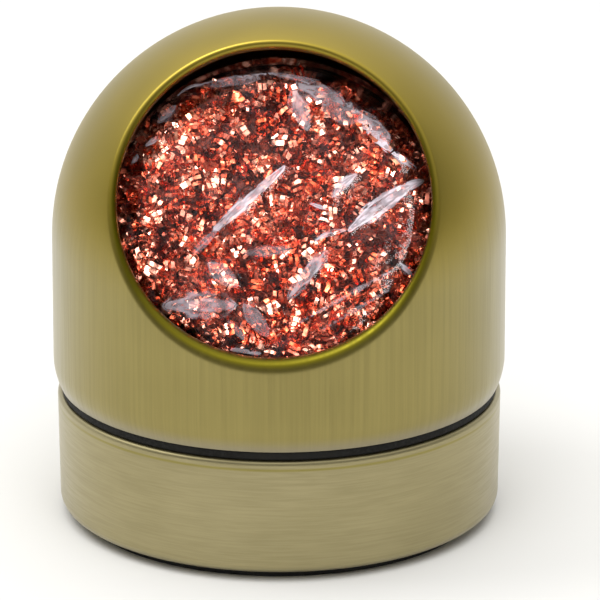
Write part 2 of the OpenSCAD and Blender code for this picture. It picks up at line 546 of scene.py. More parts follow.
@dataclass(frozen=True)
class ClearFilm(Finish):
    """Blown polyethylene film, clear where it is flat and milky where it has been creased.

    The milky marks are partly the whitening of creased film and partly a painted reflection of the
    lamps in its folds. Each vertex carries where it lies on its nearest crease: millimetres along it, its
    distance from the crease's middle as a share of the crease's half width, and how milky the crease is.
    """

    tint: str = "f8f2f3"
    milk_and_sheen: str = "e9dde8"
    gloss: float = 0.09
    gloss_index: float = 1.32

    def surface(self, tree: Tree, place: Socket) -> Socket:
        """Builds the film: a clear sheet, its shine and the milky marks of its creases.

        Args:
            tree: Tree that takes the nodes.
            place: Place on the object, in metres.

        Returns:
            The shader's socket.
        """
        crumple = add_node(
            tree,
            "ShaderNodeTexNoise",
            inputs={"Vector": place, "Scale": 0.5 / (1.6 * MM), "Detail": 4.0, "Distortion": 0.8},
        ).outputs["Fac"]
        bump = add_node(
            tree, "ShaderNodeBump", inputs={"Strength": 0.35, "Distance": 0.5 * MM, "Height": crumple}
        ).outputs["Normal"]
        # Milky share along the creases: partly the whitening of creased film, partly painted reflection of
        # the lamps in the folds.
        haze = self.haze(tree, crumple)
        clear = add_node(tree, "ShaderNodeBsdfTransparent", inputs={"Color": linear(self.tint)})
        milky = add_node(
            tree,
            "ShaderNodeBsdfPrincipled",
            inputs={
                "Base Color": linear(self.milk_and_sheen),
                "Roughness": 0.3,
                "Normal": bump,
                "Specular IOR Level": 0.6,
            },
        )
        shine = add_node(
            tree,
            "ShaderNodeBsdfAnisotropic",
            inputs={"Color": (1.0, 1.0, 1.0, 1.0), "Roughness": self.gloss, "Normal": bump},
        )
        mirror = add_node(
            tree, "ShaderNodeFresnel", inputs={"IOR": self.gloss_index, "Normal": bump}
        ).outputs[0]
        glassy = add_node(
            tree,
            "ShaderNodeMixShader",
            inputs={0: mirror, 1: clear.outputs[0], 2: shine.outputs[0]},
        )
        return add_node(
            tree,
            "ShaderNodeMixShader",
            inputs={0: haze, 1: glassy.outputs[0], 2: milky.outputs["BSDF"]},
        ).outputs[0]

    @staticmethod
    def haze(tree: Tree, crumple: Socket) -> Socket:
        """Works out how milky the film is, with ragged edges and fine strokes along each crease.

        Args:
            tree: Tree that takes the nodes.
            crumple: Unevenness of the film.

        Returns:
            The share of the milky surface.
        """
        fold = add_node(tree, "ShaderNodeAttribute", {"attribute_name": "fold"}).outputs["Vector"]
        parts = add_node(tree, "ShaderNodeSeparateXYZ", inputs={0: fold})
        drawn = add_node(
            tree, "ShaderNodeVectorMath", {"operation": "MULTIPLY"}, {0: fold, 1: (0.45, 2.6, 9.0)}
        ).outputs[0]
        strokes = add_node(
            tree, "ShaderNodeTexNoise", inputs={"Vector": drawn, "Scale": 1.0, "Detail": 3.0}
        ).outputs["Color"]
        strokes = add_node(tree, "ShaderNodeSeparateColor", inputs={0: strokes})
        ragged = add_node(
            tree,
            "ShaderNodeMath",
            {"operation": "MULTIPLY_ADD"},
            {0: strokes.outputs["Red"], 1: 2.6, 2: parts.outputs["Y"]},
        ).outputs[0]
        crisp = add_node(
            tree,
            "ShaderNodeMath",
            {"operation": "MULTIPLY_ADD"},
            {0: parts.outputs["Z"], 1: 0.75, 2: 1.25},
        ).outputs[0]
        inside = add_node(
            tree, "ShaderNodeMapRange", SMOOTH, {0: ragged, 1: 2.35, 2: crisp, 3: 0.0, 4: 1.0}
        ).outputs[0]
        worked = {0: strokes.outputs["Green"], 1: 0.4, 2: 0.62, 3: 0.45, 4: 1.0}
        stroke = add_node(tree, "ShaderNodeMapRange", SMOOTH, worked).outputs[0]
        full = add_node(
            tree, "ShaderNodeMath", {"operation": "MULTIPLY"}, {0: inside, 1: stroke}
        ).outputs[0]
        crease = add_node(
            tree, "ShaderNodeMath", {"operation": "MULTIPLY"}, {0: full, 1: parts.outputs["Z"]}
        ).outputs[0]
        veil = add_node(
            tree, "ShaderNodeMapRange", SMOOTH, {0: crumple, 1: 0.5, 2: 0.75, 3: 0.0, 4: 0.03}
        ).outputs[0]
        return add_node(
            tree, "ShaderNodeMath", {"operation": "ADD", "use_clamp": True}, {0: crease, 1: veil}
        ).outputs[0]


@dataclass(frozen=True)
class AcrylicTape(Finish):
    """Double-sided acrylic tape, cream, with the fibres of its carrier showing as cloudy threads."""

    colour: str = "ddd7bf"
    fibre: str = "b5ac8c"

    def surface(self, tree: Tree, place: Socket) -> Socket:
        """Builds the tape.

        Args:
            tree: Tree that takes the nodes.
            place: Place on the object, in metres.

        Returns:
            The shader's socket.
        """
        threads = add_node(
            tree,
            "ShaderNodeTexNoise",
            inputs={"Vector": place, "Scale": 0.5 / (0.8 * MM), "Detail": 4.0, "Distortion": 2.0},
        ).outputs["Fac"]
        tone = self.mottled(tree, threads, (0.4, 0.65), 1.0, linear(self.colour), linear(self.fibre))
        return self.grained(tree, tone, threads, (0.4, 0.6), (0.4, 0.05 * MM))


@dataclass(frozen=True)
class StudioPaper(Finish):
    """Plain pale background paper, matt, with the faintest unevenness."""

    colour: str = "e4e3e0"

    def surface(self, tree: Tree, place: Socket) -> Socket:
        """Builds the paper.

        Args:
            tree: Tree that takes the nodes.
            place: Place on the object, in metres.

        Returns:
            The shader's socket.
        """
        cloud = add_node(
            tree,
            "ShaderNodeTexNoise",
            inputs={"Vector": place, "Scale": 0.5 / (60 * MM), "Detail": 2.0},
        ).outputs["Fac"]
        gloss = add_node(
            tree, "ShaderNodeMapRange", SMOOTH, {0: cloud, 1: 0.3, 2: 0.7, 3: 0.8, 4: 0.95}
        ).outputs[0]
        return add_node(
            tree,
            "ShaderNodeBsdfPrincipled",
            inputs={
                "Base Color": linear(self.colour),
                "Roughness": gloss,
                "Specular IOR Level": 0.1,
            },
        ).outputs["BSDF"]


# ---------------------------------------------------------------------------------------------
# Making and placing meshes
# ---------------------------------------------------------------------------------------------


def piece_from(
    bm: Form,
    name: str,
    body: str,
    finishes: list[Finish],
    node: str | None = None,
    sharp: float = 35.0,
) -> Piece:
    """Turns a finished bmesh into a piece of the object.

    Args:
        bm: Mesh in its place, which is freed.
        name: Name of the piece.
        body: CAD body that it rides on.
        finishes: Finishes, in the order of the faces' material numbers.
        node: CAD node that it stands for, if any.
        sharp: Angle in degrees above which an edge stays sharp.

    Returns:
        The piece.
    """
    mesh = bpy.data.meshes.new(name)
    bm.to_mesh(mesh)
    bm.free()
    for finish in finishes:
        mesh.materials.append(finish.material())
    mesh.shade_smooth()
    mesh.set_sharp_from_angle(angle=math.radians(sharp))
    piece = bpy.data.objects.new(name, mesh)
    bpy.context.scene.collection.objects.link(piece)
    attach(piece, body)
    if node:
        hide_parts(node)
    log.info("%s: %d faces, on %s", name, len(mesh.polygons), body)
    return piece


def arc(
    centre: tuple[float, float], radius: float, start: float, end: float, count: int = 6
) -> list[tuple[float, float]]:
    """Lists points along an arc of a section.

    Args:
        centre: Centre, as distance from the axis and height.
        radius: Radius of the arc.
        start: First angle in degrees, from the outward direction, turning up.
        end: Last angle in degrees.
        count: Number of steps.

    Returns:
        The points, both ends included.
    """
    angles = [math.radians(start + (end - start) * i / count) for i in range(count + 1)]
    return [(centre[0] + radius * math.cos(a), centre[1] + radius * math.sin(a)) for a in angles]


def turned(section: list[tuple[float, float]], steps: int = 128) -> Form:
    """Turns a closed section round the upright axis.

    Args:
        section: Corners of the section in order, as distance from the axis and height.
        steps: Number of steps round.

    Returns:
        A closed ring-shaped mesh, with its faces outwards.
    """
    bm = bmesh.new()
    verts = [bm.verts.new((x, 0.0, z)) for x, z in section]
    edges = [bm.edges.new((verts[i - 1], verts[i])) for i in range(len(verts))]
    bmesh.ops.spin(
        bm,
        geom=verts + edges,
        cent=(0, 0, 0),
        axis=(0, 0, 1),
        dvec=(0, 0, 0),
        angle=math.tau,
        steps=steps,
        use_merge=True,
        use_duplicate=False,
    )
    bmesh.ops.remove_doubles(bm, verts=bm.verts, dist=0.001 * MM)
    bmesh.ops.delete(bm, geom=[e for e in bm.edges if e.is_wire], context="EDGES")
    bmesh.ops.recalc_face_normals(bm, faces=bm.faces)
    return bm


# ---------------------------------------------------------------------------------------------
# Case
# ---------------------------------------------------------------------------------------------


@dataclass
class Dome:
    """The spun and brushed dome, whose sheet rolls inwards round the tilted mouth."""

    wall: float = 0.8 * MM
    curl_height: float = 4.0 * MM
    curl_in: float = 0.9 * MM
    mouth_radius: float = 22.7 * MM
    mouth_tilt: float = math.radians(30)
    lip_radius: float = 2.0 * MM
    lip_radius_above: float = 0.7 * MM
    collar: float = 1.0 * MM
    steps: int = 192
    collar_rings: int = 3
    lip_rings: int = 14
    body_rings: int = 64
    radius: float = field(init=False)
    low: float = field(init=False)
    centre: Vector = field(init=False)
    axis: Vector = field(init=False)

    def __post_init__(self) -> None:
        """Takes the dome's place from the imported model."""
        self.radius, self.low, high = sizes_of("dome_shell")
        self.centre = Vector((0.0, 0.0, high - self.radius))
        self.axis = Vector((0.0, -math.cos(self.mouth_tilt), math.sin(self.mouth_tilt)))

    def build(self) -> Piece:
        """Builds and dresses the dome.

        Returns:
            The finished piece.
        """
        bm = bmesh.new()
        rings = self.collar_rings + self.lip_rings + self.body_rings
        bmesh.ops.create_grid(bm, x_segments=self.steps, y_segments=rings, size=0.5)
        bend = bm.verts.layers.float.new("bend")
        for vert in bm.verts:
            around = round((vert.co.x + 0.5) * self.steps) % self.steps
            turn = around / self.steps * math.tau
            ring = round((vert.co.y + 0.5) * rings)
            # Painted shade for the lip: the share through its bend, weighted towards the bottom of the
            # mouth.
            lip_shade_share = max(0.0, min(1.0, 1 - (ring - self.collar_rings) / self.lip_rings))
            vert[bend] = lip_shade_share * (0.6 + 0.4 * math.cos(turn))
            vert.co = self.point(turn, ring)
        bmesh.ops.remove_doubles(bm, verts=bm.verts, dist=0.001 * MM)
        self.trim(bm)
        self.curl(bm)
        crown = max(bm.faces, key=lambda f: f.calc_center_median().z)
        if crown.normal.z < 0:
            bmesh.ops.reverse_faces(bm, faces=bm.faces)
        bm.normal_update()
        outside = set(bm.faces)
        bmesh.ops.solidify(bm, geom=bm.faces[:], thickness=self.wall)
        for face in bm.faces:
            face.material_index = 0 if face in outside else 1
        outer = AnodisedAluminium(
            "brushed_olive_gold_anodised_aluminium",
            curl_reflection_low=self.low,
            curl_reflection_high=self.low + 2.4 * MM,
            grain_fade=(self.centre.z - 4 * MM, self.centre.z + 12 * MM),
        )
        # The dome's inside takes darker olives: painted shade for its hollow.
        inner = AnodisedAluminium(
            "shaded_inside_olive_anodised_aluminium",
            colour="7d7222",
            deep="4e4712",
            crown="6a611c",
            grain_depth=0.2,
            roughness=0.42,
            coat=0.2,
        )
        return piece_from(bm, "dome", "dome", [outer, inner], "dome_shell", 50)

    def point(self, turn: float, ring: int) -> Vector:
        """Places one corner of the dome's mesh.

        Args:
            turn: Angle round the mouth's axis, from its lowest point.
            ring: Number of the ring, from the collar's inner end to the back of the dome.

        Returns:
            The corner's place.
        """
        down = Vector((0.0, -math.sin(self.mouth_tilt), -math.cos(self.mouth_tilt)))
        side = Vector((1.0, 0.0, 0.0))
        outward = down * math.cos(turn) + side * math.sin(turn)
        radius = self.bend_radius(turn)
        heart, normal = self.roll(outward, radius)
        if ring <= self.collar_rings:
            tip = heart.dot(self.axis) - self.collar
            depth = tip + (heart.dot(self.axis) - tip) * ring / self.collar_rings
            return self.centre + self.axis * depth + outward * self.mouth_radius
        ring -= self.collar_rings
        if ring <= self.lip_rings:
            bend = (-outward).slerp(normal, ring / self.lip_rings)
            return self.centre + heart + bend * radius
        start = (heart + normal * radius).normalized()
        way = start.slerp(-self.axis, (ring - self.lip_rings) / self.body_rings)
        if way.z < 0:
            way = way / math.hypot(way.x, way.y)
        return self.centre + way * self.radius

    def bend_radius(self, turn: float) -> float:
        """Returns the lip's radius at an angle round the mouth: the sheet bends tighter higher up."""
        low = ((1 + math.cos(turn)) / 2) ** 4
        return self.lip_radius_above + (self.lip_radius - self.lip_radius_above) * low

    def lip_depth(self, radius: float) -> float:
        """Returns how far a bend of this radius lies from the dome's centre, where the dome is round."""
        return math.sqrt((self.radius - radius) ** 2 - (self.mouth_radius + radius) ** 2)

    def roll(self, outward: Vector, radius: float) -> tuple[Vector, Vector]:
        """Rolls a ball between the mouth's wall and the body.

        Args:
            outward: Direction from the mouth's axis.
            radius: The ball's radius.

        Returns:
            The ball's centre, from the dome's centre, and the body's normal where the ball touches it.
        """
        reach = self.radius - radius
        arm = outward * (self.mouth_radius + radius)
        heart = arm + self.axis * self.lip_depth(radius)
        if heart.z >= 0:
            return heart, heart.normalized()
        a = self.axis.x**2 + self.axis.y**2
        b = 2 * (self.axis.x * arm.x + self.axis.y * arm.y)
        c = arm.x**2 + arm.y**2 - reach**2
        heart = arm + self.axis * ((-b + math.sqrt(b * b - 4 * a * c)) / (2 * a))
        return heart, Vector((heart.x, heart.y, 0.0)).normalized()

    def trim(self, bm: Form) -> None:
        """Cuts the mesh off level where the lower edge starts to curl in."""
        level = self.low + self.curl_height
        bmesh.ops.bisect_plane(
            bm,
            geom=bm.verts[:] + bm.edges[:] + bm.faces[:],
            dist=0.002 * MM,
            plane_co=(0, 0, level),
            plane_no=(0, 0, -1),
            clear_outer=True,
        )
        bmesh.ops.remove_doubles(bm, verts=bm.verts, dist=0.01 * MM)
        for vert in bm.verts:
            if abs(vert.co.z - level) < 0.005 * MM:
                share = self.radius / math.hypot(vert.co.x, vert.co.y)
                vert.co = Vector((vert.co.x * share, vert.co.y * share, level))

    def curl(self, bm: Form, rings: int = 8) -> None:
        """Draws the level edge down and in along its curl.

        Args:
            bm: Mesh of the dome, open at the level edge.
            rings: Number of steps down the curl.
        """
        level = self.low + self.curl_height
        bend = (self.curl_in**2 + self.curl_height**2) / (2 * self.curl_in)
        edges = [e for e in bm.edges if e.is_boundary and all(v.co.z < level + 0.01 * MM for v in e.verts)]
        for ring in range(1, rings + 1):
            fall = self.curl_height * ring / rings
            reach = self.radius - bend + math.sqrt(bend**2 - fall**2)
            made = bmesh.ops.extrude_edge_only(bm, edges=edges)["geom"]
            verts = {v for v in made if isinstance(v, bmesh.types.BMVert)}
            edges = [e for e in made if isinstance(e, bmesh.types.BMEdge) and set(e.verts) <= verts]
            for vert in verts:
                share = reach / math.hypot(vert.co.x, vert.co.y)
                vert.co = Vector((vert.co.x * share, vert.co.y * share, level - fall))


@dataclass
class Base:
    """The drawn base, the rubber ring on it and the sleeve that the dome slips over."""

    wall: float = 1.1 * MM
    edge_radius: float = 1.8 * MM
    shoulder: float = 0.7 * MM
    taper: float = 0.12 * MM
    recess_radius: float = 6.0 * MM
    recess_depth: float = 1.2 * MM
    hole_radius: float = 2.2 * MM
    neck_wall: float = 0.6 * MM
    flange: float = 4.0 * MM
    rim: float = field(init=False)
    low: float = field(init=False)
    high: float = field(init=False)

    def __post_init__(self) -> None:
        """Takes the base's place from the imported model."""
        self.rim, self.low, self.high = sizes_of("base_shell")

    def build(self) -> list[Piece]:
        """Builds and dresses the base, ring and sleeve.

        Returns:
            The finished pieces.
        """
        return [self.shell(), self.ring(), self.neck()]

    def shell(self) -> Piece:
        """Builds the base's sheet, with its pressed recess.

        Returns:
            The finished piece.
        """
        low, high, wall, inner = self.low, self.high, self.wall, self.rim - self.wall
        foot = self.rim - self.taper
        lip = self.rim + self.taper
        bore, step = self.recess_radius, self.recess_depth
        section = [(bore, low)]
        section += arc((foot - self.edge_radius, low + self.edge_radius), self.edge_radius, -90, 0, 8)
        section += arc((lip - self.shoulder, high - self.shoulder), self.shoulder, 0, 90, 6)
        section += [(inner, high)]
        section += [(inner, low + wall + 0.4 * MM), (inner - 0.4 * MM, low + wall)]
        section += [(bore + wall, low + wall), (bore + wall, low + wall + step)]
        section += [(self.hole_radius, low + wall + step), (self.hole_radius, low + step)]
        section += [(bore, low + step)]
        finish = AnodisedAluminium(
            "satin_champagne_anodised_aluminium",
            colour="a69b72",
            deep="8b8156",
            line_height=high - 1.3 * MM,
            grain=Grain.ROUND,
            grain_size=0.14 * MM,
            grain_length=4 * MM,
            grain_depth=0.3,
            roughness=0.4,
            coat=0.5,
        )
        return piece_from(turned(section, 192), "base", "base", [finish], "base_shell")

    def ring(self) -> Piece:
        """Builds the rubber ring that shows as the dark line under the dome.

        Returns:
            The finished piece.
        """
        rim, low, high = sizes_of("seam_ring")
        inner = self.rim - self.wall
        soft = 0.3 * MM
        section = [(inner, low)]
        section += arc((rim - soft, low + soft), soft, -90, 0, 4)
        section += arc((rim - soft, high - soft), soft, 0, 90, 4)
        section += [(inner, high)]
        return piece_from(
            turned(section, 160), "rubber_ring", "ring", [MouldedRubber("moulded_nitrile_rubber")],
            "seam_ring",
        )

    def neck(self) -> Piece:
        """Builds the drawn sleeve with its rolled top and its foot flange.

        Returns:
            The finished piece.
        """
        rim, low, high = sizes_of("neck_sleeve")
        wall = self.neck_wall
        inner, bend, half = rim - wall, 0.9 * MM, wall / 2
        section = [(inner - self.flange, low)]
        section += arc((rim - bend, low + bend), bend, -90, 0, 4)
        section += arc((rim - half, high - half), half, 0, 180, 6)
        section += arc((inner - bend + half, low + wall + bend - half), bend - half, 0, -90, 4)
        section += [(inner - self.flange, low + wall)]
        finish = TurnedMetal("drawn_bare_aluminium", colour="c6c5bf", deep="96958f", roughness=0.28)
        return piece_from(turned(section, 160), "neck", "base", [finish], "neck_sleeve")


@dataclass
class Insides:
    """What stands in the base: the ballast with its screw, the catch cup, and the foot under it all."""

    cup_wall: float = 0.5 * MM
    bead: float = 0.7 * MM
    cup_corner: float = 2.5 * MM
    pressed_ring: float = 0.28 * MM
    ballast_bore: float = 2.05 * MM
    ballast_recess: float = 7.3 * MM
    recess_height: float = 0.6 * MM
    pad_bore: float = 7.0 * MM
    groove_pitch: float = 3.2 * MM
    groove_depth: float = 0.3 * MM

    def build(self) -> list[Piece]:
        """Builds and dresses what stands in and under the base.

        Returns:
            The finished pieces.
        """
        plated = TurnedMetal("nickel_plated_steel", colour="d2d0c8", deep="a09f9b", roughness=0.2)
        for node in ("ballast_screw", "lock_washer"):
            self.dress(node, plated)
        self.dress("pad_adhesive", AcrylicTape("acrylic_tape"))
        return [self.ballast(), self.cup(), self.foot()]

    @staticmethod
    def dress(node: str, finish: Finish) -> None:
        """Gives a CAD node its finish.

        Args:
            node: Name of the node.
            finish: Finish for its whole surface.
        """
        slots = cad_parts[node].data.materials
        slots.clear()
        slots.append(finish.material())

    def ballast(self) -> Piece:
        """Builds the turned steel disc, with broken edges and two clamping rings.

        Returns:
            The finished piece.
        """
        rim, low, high = sizes_of("ballast_disc")
        cham = 0.4 * MM
        roof = low + self.recess_height
        section = [(self.ballast_recess, low), (rim - cham, low), (rim, low + cham)]
        section += [(rim, high - cham), (rim - cham, high)]
        for at in (0.72, 0.4):
            mid = rim * at
            section += [(mid + cham, high), (mid, high - cham), (mid - cham, high)]
        section += [(self.ballast_bore + cham, high), (self.ballast_bore, high - cham)]
        section += [(self.ballast_bore, roof), (self.ballast_recess, roof)]
        finish = TurnedMetal(
            "turned_zinc_plated_steel", colour="a9abae", deep="6f7176", ring_size=0.35 * MM
        )
        return piece_from(
            turned(section, 128), "ballast", "base", [finish], "ballast_disc", 25
        )

    def cup(self) -> Piece:
        """Builds the drawn cup with a rolled bead and two pressed rings in its floor.

        Returns:
            The finished piece.
        """
        rim, low, high = sizes_of("catch_cup")
        wall, bead, corner = self.cup_wall, self.bead, self.cup_corner
        side = rim - 2 * bead + wall
        section = [(0.0, low)]
        section += arc((side - corner, low + corner), corner, -90, 0, 6)
        heart = (side - wall + bead, high - bead)
        section += [(side, heart[1] - bead + 0.05 * MM)]
        section += arc(heart, bead, -75, 180, 12)
        section += arc((side - corner, low + corner), corner - wall, 0, -90, 6)
        for at in (0.62, 0.34):
            section += arc((side * at, low + wall), self.pressed_ring, 0, 180, 6)
        section += [(0.0, low + wall)]
        finish = TurnedMetal("drawn_tinplate", colour="cfcdc5", deep="a3a199", roughness=0.24)
        return piece_from(turned(section, 128), "cup", "cup", [finish], "catch_cup")

    def foot(self) -> Piece:
        """Builds the rubber pad, with round grooves moulded in its underside.

        Returns:
            The finished piece.
        """
        rim, low, high = sizes_of("foot_pad")
        soft, depth = 0.2 * MM, self.groove_depth
        section = [(self.pad_bore, high), (self.pad_bore, low)]
        at = self.pad_bore + self.groove_pitch * 0.6
        while at < rim - self.groove_pitch * 0.6:
            section += [(at - 0.4 * MM, low), (at - 0.2 * MM, low + depth)]
            section += [(at + 0.2 * MM, low + depth), (at + 0.4 * MM, low)]
            at += self.groove_pitch
        section += [(rim - soft, low), (rim, low + soft), (rim, high)]
        finish = MouldedRubber("moulded_foot_rubber", colour="141414", dust="3c3b38")
        return piece_from(turned(section, 128), "foot", "base", [finish], "foot_pad", 30)


# ---------------------------------------------------------------------------------------------
# Cleaning wool and its film
# ---------------------------------------------------------------------------------------------


@dataclass(frozen=True)
class Flat:
    """A flat that the tight film presses on the ball's shoulder, leaving a dark gap behind the mouth's edge.

    It lies across one direction, in degrees round the mouth's axis from the right, beyond a distance in
    millimetres from that axis, and eases in over a few millimetres more.
    """

    towards: float
    beyond: float
    ease: float = 1.4

    def share(self, right: float, up: float) -> float:
        """Measures how far into the flat a place is.

        Args:
            right: Millimetres to the right of the mouth's middle.
            up: Millimetres up from it.

        Returns:
            None of the way in as zero, and fully in as one.
        """
        turn = math.radians(self.towards)
        past = right * math.cos(turn) + up * math.sin(turn) - self.beyond
        step = max(0.0, min(1.0, past / self.ease))
        return step * step * (3 - 2 * step)


@dataclass
class CopperWool:
    """The ball of crimped copper ribbon: thousands of small curls over a dark matted core."""

    ribbon: float = 0.6 * MM
    ribbon_thick: float = 0.08 * MM
    curl_radii: tuple[float, float] = (0.65 * MM, 1.35 * MM)
    pitches: tuple[float, float] = (0.6 * MM, 1.2 * MM)
    turns: tuple[float, float] = (1.6, 2.6)
    turn_steps: int = 8
    kinds: int = 28
    count: int = 6500
    pieces: int = 5
    front_share: float = 0.42
    skin: float = 1.15 * MM
    depth: float = 3.6 * MM
    core_depth: float = 4.6 * MM
    clump: float = 2.0 * MM
    bulge: float = 2.2 * MM
    bulge_reach: float = 21 * MM
    bulge_width: float = 6 * MM
    bulge_ease: float = 5 * MM
    face_depth: float = 6 * MM
    heart_height: float = 28 * MM
    clump_sizes: tuple[float, float] = (4.5 * MM, 2.1 * MM)
    mat_size: float = 1.4 * MM
    crimp: float = 0.16 * MM
    crimp_size: float = 1.1 * MM
    longest_bow: float = 220.0
    flat_depth: float = 2.6 * MM
    flats: tuple[Flat, ...] = (Flat(41, 18.9), Flat(68, 19.6), Flat(95, 20.2), Flat(-117, 18.6))
    # Places where the ribbon lies thin: millimetres right and up from the mouth's middle, and radius
    holes: tuple[tuple[float, float, float], ...] = (
        (2.4, 4.4, 1.4),
        (7.0, 3.4, 1.5),
        (-4.4, 4.6, 1.1),
        (1.6, -13.2, 1.2),
        (17.5, -3.6, 1.3),
    )
    seed: int = 7
    middle: Vector = field(init=False)
    axis: Vector = field(init=False)
    rise: Vector = field(init=False)
    heart: Vector = field(init=False)
    dice: random.Random = field(init=False)
    form: Form = field(init=False)

    def build(self, dome: Dome) -> list[Piece]:
        """Builds the core and the curls.

        Args:
            dome: The dome, whose mouth the ball bulges towards.

        Returns:
            The finished pieces.
        """
        self.middle, self.axis = dome.centre, dome.axis
        self.rise = Vector((0.0, math.sin(dome.mouth_tilt), math.cos(dome.mouth_tilt)))
        self.dice = random.Random(self.seed)
        self.form = self.merged_form()
        self.heart = Vector((0.0, 0.0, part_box("cleaning_wool")[0].z + self.heart_height))
        made = [self.core()]
        kinds = [self.curl_mesh() for _ in range(self.kinds)]
        share = self.count // self.pieces
        finish = CopperRibbon("rolled_copper_ribbon")
        for number in range(self.pieces):
            bm = bmesh.new()
            for place in self.places(share):
                curl = self.dice.choice(kinds).copy()
                curl.transform(place)
                bm.from_mesh(curl)
                bpy.data.meshes.remove(curl)
            name = f"copper_curls_{number + 1}"
            made.append(piece_from(bm, name, "wool", [finish], "cleaning_wool", 40))
        return made

    @staticmethod
    def merged_form() -> Form:
        """Returns a merged copy of the CAD ball, with its faces outwards."""
        bm = bmesh.new()
        bm.from_mesh(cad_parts["cleaning_wool"].data)
        bmesh.ops.remove_doubles(bm, verts=bm.verts, dist=0.001 * MM)
        bmesh.ops.triangulate(bm, faces=bm.faces)
        bmesh.ops.recalc_face_normals(bm, faces=bm.faces)
        return bm

    def swell(self, at: Vector) -> float:
        """Returns how far the ball bulges towards the edge of the mouth, past its plain form."""
        out = at - self.middle
        depth = out.dot(self.axis)
        reach = (out - self.axis * depth).length
        if depth < self.face_depth:
            return 0.0
        rise = max(0.0, 1 - ((reach - self.bulge_reach) / self.bulge_width) ** 2)
        return self.bulge * rise * min(1.0, (depth - self.face_depth) / self.bulge_ease)

    def pressed(self, at: Vector) -> float:
        """Returns how far into one of the flats or thin places a place is, from zero to one."""
        out = at - self.middle
        if out.dot(self.axis) < self.face_depth:
            return 0.0
        right, up = out.x / MM, out.dot(self.rise) / MM
        thin = max(1.2 - math.hypot(right - x, up - y) / reach for x, y, reach in self.holes)
        flat = max(flat.share(right, up) for flat in self.flats)
        return max(flat, min(1.0, max(0.0, thin) * 2))

    def hollow(self, at: Vector) -> float:
        """Returns how far the ball's surface sinks at a place, in the flats and between its clumps."""
        large, small = self.clump_sizes
        lump = noise.noise(at / large) + 0.5 * noise.noise(at / small)
        return max(0.0, lump) * self.clump + self.pressed(at) * self.flat_depth

    def core(self) -> Piece:
        """Builds the dark inside of the ball.

        Returns:
            The finished piece.
        """
        tree = BVHTree.FromBMesh(self.form)
        bm = bmesh.new()
        bmesh.ops.create_icosphere(bm, subdivisions=6, radius=1.0)
        for vert in bm.verts:
            way = vert.co.normalized()
            hit = tree.ray_cast(self.heart, way)[0]
            rough = noise.noise(hit / self.mat_size) * 0.9 * MM
            sunk = self.core_depth + 0.8 * self.hollow(hit) + rough - self.swell(hit)
            vert.co = hit - way * sunk
        finish = ShadedCopper("shaded_copper_mat")
        return piece_from(bm, "wool_core", "wool", [finish], "cleaning_wool", 180)

    def curl_mesh(self) -> bpy.types.Mesh:
        """Winds one curl of flat ribbon.

        Returns:
            A mesh of a few dozen faces, centred, with its shade of copper as an attribute.
        """
        dice = self.dice
        radius = dice.uniform(*self.curl_radii)
        turns = dice.uniform(*self.turns)
        steps = round(turns * self.turn_steps)
        pitch = dice.uniform(*self.pitches)
        half = self.ribbon / 2 * dice.uniform(0.75, 1.25)
        bm = bmesh.new()
        lean = dice.uniform(-0.25, 0.25) * half
        verts = [
            bm.verts.new((radius - lean, 0.0, -half)),
            bm.verts.new((radius + lean, 0.0, half)),
            bm.verts.new((radius - self.ribbon_thick, 0.0, 0.0)),
        ]
        edges = [bm.edges.new((verts[i - 1], verts[i])) for i in range(3)]
        bmesh.ops.spin(
            bm,
            geom=verts + edges,
            cent=(0, 0, 0),
            axis=(0, 0, 1),
            dvec=(0, 0, pitch / self.turn_steps),
            angle=math.tau * turns,
            steps=steps,
            use_merge=False,
            use_duplicate=False,
        )
        bmesh.ops.holes_fill(bm, edges=[e for e in bm.edges if e.is_boundary], sides=3)
        bmesh.ops.recalc_face_normals(bm, faces=bm.faces)
        middle = pitch * turns / 2
        squash, bend = dice.uniform(0.6, 1.0), dice.uniform(-self.longest_bow, self.longest_bow)
        jog = Vector((dice.uniform(-9, 9), dice.uniform(-9, 9), dice.uniform(-9, 9)))
        for vert in bm.verts:
            at = vert.co - UP * middle
            shake = noise.noise_vector(at / self.crimp_size + jog) * self.crimp
            vert.co = Vector((at.x * squash + bend * at.z**2, at.y, at.z)) + shake
        mesh = bpy.data.meshes.new("curl")
        bm.to_mesh(mesh)
        bm.free()
        tone = mesh.attributes.new("tone", "FLOAT", "POINT")
        shade = dice.random()
        tone.data.foreach_set("value", [shade] * len(mesh.vertices))
        return mesh

    def places(self, count: int) -> list[Matrix]:
        """Chooses where the curls lie, thickest behind the mouth.

        Args:
            count: Number of curls.

        Returns:
            A placing for each curl.
        """
        dice = self.dice
        faces = self.form.faces
        areas = [f.calc_area() for f in faces]
        edge = -self.face_depth
        front = [a if f.calc_center_median().y < edge else 0.0 for f, a in zip(faces, areas)]
        picked = dice.choices(faces[:], areas, k=count - round(count * self.front_share))
        picked += dice.choices(faces[:], front, k=round(count * self.front_share))
        made = []
        for face in picked:
            a, b = sorted((dice.random(), dice.random()))
            p, q, r = (v.co for v in face.verts)
            at = p * a + q * (b - a) + r * (1 - b)
            if dice.random() < 0.45 * self.pressed(at):
                continue
            sunk = self.skin + self.hollow(at) * 0.9 + dice.random() ** 1.6 * self.depth
            sunk -= self.swell(at)
            turn = Vector([dice.gauss(0, 1) for _ in range(3)]).to_track_quat("Z", "Y")
            spin = Matrix.Rotation(dice.uniform(0, math.tau), 4, "Z")
            made.append(Matrix.Translation(at - face.normal * sunk) @ turn.to_matrix().to_4x4() @ spin)
        return made


